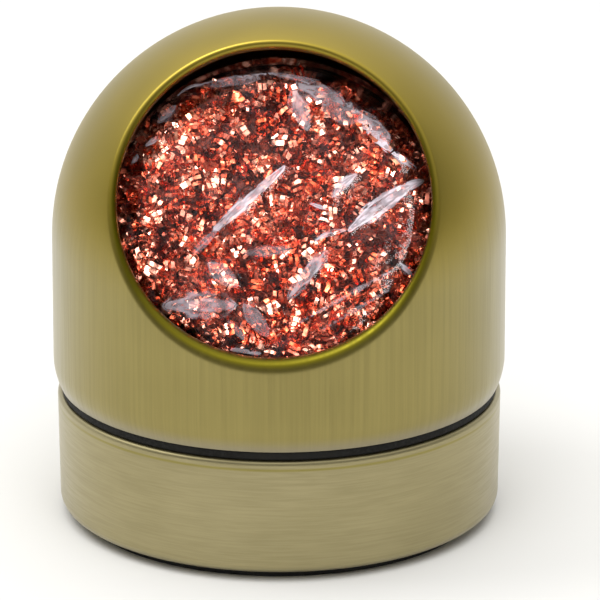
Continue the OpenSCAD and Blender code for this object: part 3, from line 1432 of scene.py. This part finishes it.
@dataclass(frozen=True)
class Crease:
    """A fold in the film, on the face behind the mouth.

    Its ends are given in millimetres to the right and up from the middle of the mouth, seen along the
    mouth's axis, and so is its width. Its milky mark is never narrower than the film's mesh can show, and
    the film rises more broadly than that.
    """

    start: tuple[float, float]
    end: tuple[float, float]
    width: float
    rise: float
    milk_and_sheen: float
    bow: float = 0.0
    finest_mark: float = 0.22
    finest_rise: float = 0.5

    def at(self, right: float, up: float) -> tuple[float, float, float]:
        """Measures a place on the face against the fold.

        Args:
            right: Millimetres to the right of the mouth's middle.
            up: Millimetres up from it.

        Returns:
            Millimetres along the fold, the distance from its middle as a share of its half width, and
            how far it lifts the film.
        """
        ax, ay = self.start
        dx, dy = self.end[0] - ax, self.end[1] - ay
        long = math.hypot(dx, dy)
        t = ((right - ax) * dx + (up - ay) * dy) / long**2
        off = ((right - ax) * dy - (up - ay) * dx) / long + self.bow * 4 * t * (1 - t)
        past = max(0.0, -t, t - 1) * long
        inside = max(0.0, min(1.0, t))
        half = max(self.finest_mark, self.width * (0.25 + 0.75 * math.sin(math.pi * inside) ** 0.7))
        away = math.hypot(off, past)
        lift = self.rise * math.exp(-((away / max(half, self.finest_rise)) ** 2))
        return t * long, away / half, lift


@dataclass
class FilmBag:
    """The clear film that the ball is still wrapped in, pulled round it and gathered underneath."""

    clear: float = 0.35 * MM
    corners: int = 120
    corner_rise: float = 0.75 * MM
    smoothing: int = 24
    gather_radius: float = 4.0 * MM
    gather_height: float = 3 * MM
    pleat_length: float = 12 * MM
    pleat_depth: float = 0.12 * MM
    pleats: int = 26
    face_depth: float = 8 * MM
    flat_size: tuple[float, float] = (75 * MM, 85 * MM)
    seed: int = 11
    # Each crease's milky mark is partly painted reflection of the lamps in the folds.
    creases: tuple[Crease, ...] = (
        Crease((-8.8, -3.7), (1.4, 6.2), 0.95, 0.5, 0.85),
        Crease((-11.6, -7.0), (-8.4, -3.6), 0.8, 0.2, 0.35),
        Crease((2.3, -13.4), (7.5, -6.4), 1.25, 0.4, 0.5),
        Crease((5.9, -4.9), (10.1, -3.3), 0.4, 0.3, 0.8, 0.3),
        Crease((10.8, -3.3), (21.1, 4.5), 1.25, 0.6, 0.95, 0.4),
        Crease((10.1, 16.1), (21.1, 5.6), 0.6, 0.6, 1.0, -0.9),
        Crease((8.3, 1.7), (11.7, 5.2), 0.8, 0.4, 0.9, 0.3),
        Crease((5.2, 0.6), (7.6, -0.2), 0.4, 0.2, 0.7),
        Crease((2.4, 17.8), (4.4, 12.0), 1.6, 0.3, 0.55),
        Crease((3.0, 18.4), (9.8, 15.9), 1.7, 0.3, 0.45),
        Crease((6.8, 15.0), (12.4, 13.4), 1.9, 0.1, 0.25),
        Crease((11.6, 14.6), (16.4, 10.6), 1.3, 0.2, 0.5),
        Crease((-10.9, 18.8), (-0.6, 20.2), 0.4, 0.4, 0.6),
        Crease((-10.0, 18.2), (-2.2, 19.4), 0.8, 0.2, 0.3),
        Crease((-0.6, 20.1), (5.9, 19.0), 0.5, 0.4, 0.55),
        Crease((-14.5, 16.9), (-10.9, 18.6), 0.4, 0.6, 0.95, 0.7),
        Crease((-17.0, 13.0), (-14.8, 15.3), 1.3, 0.4, 0.4),
        Crease((-19.0, 9.1), (-16.7, 10.7), 0.5, 0.4, 0.75),
        Crease((-20.9, 6.6), (-20.1, 8.0), 0.5, 0.2, 0.6),
        Crease((-15.4, -14.6), (-5.7, -14.6), 2.5, 0.2, 0.42),
        Crease((-9.4, -8.4), (-5.4, -11.6), 1.9, 0.2, 0.3),
        Crease((-4.2, -14.4), (-0.8, -18.8), 1.7, 0.2, 0.3),
        Crease((-4.4, -6.9), (2.6, -6.2), 1.0, 0.1, 0.22),
        Crease((-6.4, -16.8), (-4.0, -19.6), 0.7, 0.2, 0.25),
        Crease((4.0, -16.9), (17.9, -8.7), 0.4, 0.3, 0.4),
        Crease((7.2, -18.0), (16.9, -11.8), 0.4, 0.3, 0.3),
        Crease((18.0, -8.0), (20.1, -9.6), 0.5, 0.3, 0.65),
        Crease((-6.8, -20.8), (-1.8, -21.6), 0.35, 0.3, 0.6),
    )

    def build(self, wool: CopperWool, dome: Dome, resting: list[Piece]) -> Piece:
        """Builds the film round the ball.

        Args:
            wool: The ball.
            dome: The dome, whose mouth the main folds are placed by.
            resting: Pieces that the film lies on; not used.

        Returns:
            The finished piece.
        """
        self.axis = dome.axis
        self.rise = Vector((0.0, math.sin(dome.mouth_tilt), math.cos(dome.mouth_tilt)))
        self.middle = dome.centre
        self.heart = wool.heart
        self.wool = wool
        self.tree = BVHTree.FromBMesh(wool.form)
        bm = self.wrapped()
        fold = bm.verts.layers.float_vector.new("fold")
        bm.normal_update()
        for vert in bm.verts:
            along, share, milk_and_sheen, rise = self.nearest(vert.co)
            vert[fold] = Vector((along, share, milk_and_sheen))
            vert.co += vert.normal * rise * 0.5 * MM
        film = piece_from(
            bm, "film_bag", "wool", [ClearFilm("blown_polyethylene_film")], "wool_wrap", 180
        )
        return film

    def wrapped(self) -> Form:
        """Pulls the film tight over the ball's high points, so it lies in soft flat facets.

        Returns:
            An open mesh with its hole under the ball.
        """
        dice = random.Random(self.seed)
        hull = bmesh.new()
        for _ in range(self.corners):
            way = Vector([dice.gauss(0, 1) for _ in range(3)]).normalized()
            hull.verts.new(self.skin_point(way, self.corner_rise))
        bmesh.ops.convex_hull(hull, input=hull.verts)
        bmesh.ops.triangulate(hull, faces=hull.faces)
        facets = BVHTree.FromBMesh(hull)
        hull.free()
        bm = bmesh.new()
        bmesh.ops.create_icosphere(bm, subdivisions=7, radius=1.0)
        for vert in bm.verts:
            way = vert.co.normalized()
            skin = self.skin_point(way, self.clear)
            tight = facets.ray_cast(self.heart, way)[0]
            if tight is None or (tight - self.heart).length < (skin - self.heart).length:
                tight = skin
            slack = noise.noise(tight / (5 * MM)) * 0.25 + noise.noise(tight / (1.7 * MM)) * 0.1
            vert.co = tight + way * slack * MM
        for _ in range(self.smoothing):
            bmesh.ops.smooth_vert(
                bm, verts=bm.verts, factor=0.5, use_axis_x=True, use_axis_y=True, use_axis_z=True
            )
        self.gather(bm)
        return bm

    def skin_point(self, way: Vector, out: float) -> Vector:
        """Finds a place over the ball's surface.

        Args:
            way: Direction from the ball's heart.
            out: Height over the surface.

        Returns:
            The place.
        """
        hit = self.tree.ray_cast(self.heart, way)[0]
        return hit + way * (out + self.wool.swell(hit))

    def gather(self, bm: Form) -> None:
        """Opens the film under the ball and draws it into pleats that stand on the cup's floor.

        Args:
            bm: Closed mesh of the film.
        """
        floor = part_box("wool_wrap")[0].z
        lowest = min(v.co.z for v in bm.verts)
        roof = lowest + self.gather_height
        near = [v for v in bm.verts if v.co.z < roof and math.hypot(v.co.x, v.co.y) < self.gather_radius]
        bmesh.ops.delete(bm, geom=near, context="VERTS")
        for vert in bm.verts:
            reach = math.hypot(vert.co.x, vert.co.y)
            if vert.co.z < roof and reach < self.gather_radius + self.pleat_length:
                turn = math.atan2(vert.co.y, vert.co.x)
                fade = 1 - (reach - self.gather_radius) / self.pleat_length
                vert.co.z += self.pleat_depth * max(0.0, fade) * (math.sin(self.pleats * turn) + 1)
            vert.co.z = max(vert.co.z, floor)

    def nearest(self, at: Vector) -> tuple[float, float, float, float]:
        """Finds the main fold that a place belongs to.

        Args:
            at: Place on the film.

        Returns:
            Millimetres along the fold, the distance from its middle as a share of its half width, how
            milky it is, and how far the folds lift the film here.
        """
        out = at - self.middle
        if out.dot(self.axis) < self.face_depth:
            return 0.0, 9.0, 0.0, 0.0
        right, up = out.x / MM, out.dot(self.rise) / MM
        found = [(*crease.at(right, up), crease) for crease in self.creases]
        along, share, _, crease = min(found, key=lambda row: row[1])
        return along, min(9.0, share), crease.milk_and_sheen, max(lift for _, _, lift, _ in found)


# ---------------------------------------------------------------------------------------------
# Studio
# ---------------------------------------------------------------------------------------------


class Lit(Enum):
    """What a light falls on."""

    ALL = "everything"
    WOOL = "the wool"
    FILM = "the film round the wool"
    PAPER = "the floor"
    CASE = "the dome"


@dataclass
class Softbox:
    """A flat light with a soft edge to its shadows.

    One that soaks through is shaded only by what it falls on, and stands for the light that the dome's
    inside throws back.
    """

    name: str
    place: tuple[float, float, float]
    size: tuple[float, float]
    power: float
    lit: Lit = Lit.ALL
    aim: tuple[float, float, float] = (0.0, 0.0, 0.04)
    soaks_through: bool = False

    def build(self, receivers: dict[Lit, bpy.types.Collection]) -> Piece:
        """Hangs the light and turns it to its aim.

        Args:
            receivers: What each kind of light falls on, where that is not everything.

        Returns:
            The light.
        """
        lamp = bpy.data.lights.new(self.name, "AREA")
        lamp.shape = "RECTANGLE"
        lamp.size, lamp.size_y = self.size
        lamp.energy = self.power
        made = bpy.data.objects.new(self.name, lamp)
        made.location = self.place
        made.rotation_euler = (Vector(self.aim) - Vector(self.place)).to_track_quat("-Z", "Y").to_euler()
        bpy.context.scene.collection.objects.link(made)
        if self.lit in receivers:
            made.light_linking.receiver_collection = receivers[self.lit]
        if self.soaks_through:
            made.light_linking.blocker_collection = receivers[self.lit]
        return made


@dataclass
class Studio:
    """Pale paper floor, soft lights and the camera."""

    distance: float = 0.9
    elevation: float = math.radians(19)
    azimuth: float = math.radians(1.9)
    lens: float = 364.5
    aim: tuple[float, float, float] = (3.1 * MM, 0.0, 32.2 * MM)
    brightest: tuple[float, float, float] = (-0.18, 1.0, 0.0)
    front: float = 0.29
    back: float = 0.96
    overhead: float = 1.0
    floor: float = 3.0
    lights: tuple[Softbox, ...] = (
        Softbox("side_softbox", (-0.45, 0.02, 0.57), (0.3, 0.3), 0.9),
        Softbox("lip_softbox", (-0.19, -0.06, 0.68), (0.3, 0.2), 1.7, Lit.CASE),
        Softbox("paper_light", (0.0, -0.9, 1.6), (1.6, 1.6), 20.0, Lit.PAPER),
        Softbox("wool_key", (-0.26, -0.42, 0.50), (0.24, 0.24), 5.2, Lit.WOOL),
        Softbox("wool_side", (0.40, -0.40, 0.30), (0.20, 0.28), 6.0, Lit.WOOL),
        Softbox("wool_top", (0.0, -0.22, 0.62), (0.5, 0.3), 3.0, Lit.WOOL, soaks_through=True),
        Softbox("wool_fill", (0.05, -0.60, 0.08), (0.30, 0.16), 3.8, Lit.WOOL),
        Softbox("wool_back", (0.12, 0.50, 0.40), (0.3, 0.3), 6.0, Lit.WOOL),
        Softbox("film_light", (0.30, -0.50, 0.45), (0.3, 0.3), 3.0, Lit.FILM),
    )

    def build(self, case: Piece, wool: list[Piece], film: Piece) -> None:
        """Builds the studio.

        Args:
            case: The dome, whose lip has a light of its own.
            wool: Pieces of the wool, which have their own lights too.
            film: The film round it, which has another.
        """
        lit = {Lit.CASE: [case], Lit.WOOL: wool, Lit.FILM: [film], Lit.PAPER: [self.paper()]}
        receivers = {}
        for kind, pieces in lit.items():
            receivers[kind] = bpy.data.collections.new(kind.name.lower())
            for piece in pieces:
                receivers[kind].objects.link(piece)
        self.surround()
        for light in self.lights:
            light.build(receivers)
        self.camera()
        scene = bpy.context.scene
        scene.view_settings.view_transform = "Standard"

    def paper(self) -> Piece:
        """Lays the floor, a wide round sheet.

        Returns:
            The sheet.
        """
        bm = bmesh.new()
        bmesh.ops.create_circle(bm, cap_ends=True, segments=96, radius=self.floor)
        mesh = bpy.data.meshes.new("paper_floor")
        bm.to_mesh(mesh)
        bm.free()
        mesh.materials.append(StudioPaper("pale_background_paper").material())
        sheet = bpy.data.objects.new("paper_floor", mesh)
        bpy.context.scene.collection.objects.link(sheet)
        return sheet

    def surround(self) -> None:
        """Makes the room, a light tent: white behind, bright overhead and dim on the near side."""
        world = bpy.data.worlds.new("light_tent")
        bpy.context.scene.world = world
        world.use_nodes = True
        tree = world.node_tree
        tree.nodes.clear()
        way = add_node(tree, "ShaderNodeTexCoord").outputs["Generated"]
        behind = add_node(
            tree, "ShaderNodeVectorMath", {"operation": "DOT_PRODUCT"}, {0: way, 1: self.brightest}
        ).outputs["Value"]
        above = add_node(tree, "ShaderNodeSeparateXYZ", inputs={0: way}).outputs["Z"]
        walls = add_node(
            tree, "ShaderNodeMapRange", SMOOTH, {0: behind, 1: -0.3, 2: 0.9, 3: self.front, 4: self.back}
        ).outputs[0]
        roof = add_node(
            tree, "ShaderNodeMapRange", SMOOTH, {0: above, 1: 0.5, 2: 1.0, 3: 0.0, 4: self.overhead}
        ).outputs[0]
        level = add_node(tree, "ShaderNodeMath", {"operation": "ADD"}, {0: walls, 1: roof}).outputs[0]
        tent = add_node(
            tree, "ShaderNodeBackground", inputs={"Color": (1.0, 1.0, 1.0, 1.0), "Strength": level}
        )
        add_node(tree, "ShaderNodeOutputWorld", inputs={"Surface": tent.outputs[0]})

    def camera(self) -> None:
        """Sets up the camera in front of the mouth, a little above it."""
        data = bpy.data.cameras.new("camera")
        data.lens = self.lens
        data.clip_start, data.clip_end = 0.05, 20.0
        made = bpy.data.objects.new("camera", data)
        flat = math.cos(self.elevation)
        back = Vector(
            (math.sin(self.azimuth) * flat, -math.cos(self.azimuth) * flat, math.sin(self.elevation))
        )
        made.location = Vector(self.aim) + back * self.distance
        made.rotation_euler = (-back).to_track_quat("-Z", "Y").to_euler()
        bpy.context.scene.collection.objects.link(made)
        bpy.context.scene.camera = made


def main() -> None:
    """Builds every piece in order, then the studio."""
    logging.basicConfig(level=logging.INFO, format="%(message)s")
    dome = Dome()
    case = dome.build()
    Base().build()
    Insides().build()
    wool = CopperWool()
    curls = wool.build(dome)
    film = FilmBag().build(wool, dome, curls)
    Studio().build(case, curls, film)


if __name__ == "__main__":
    main()
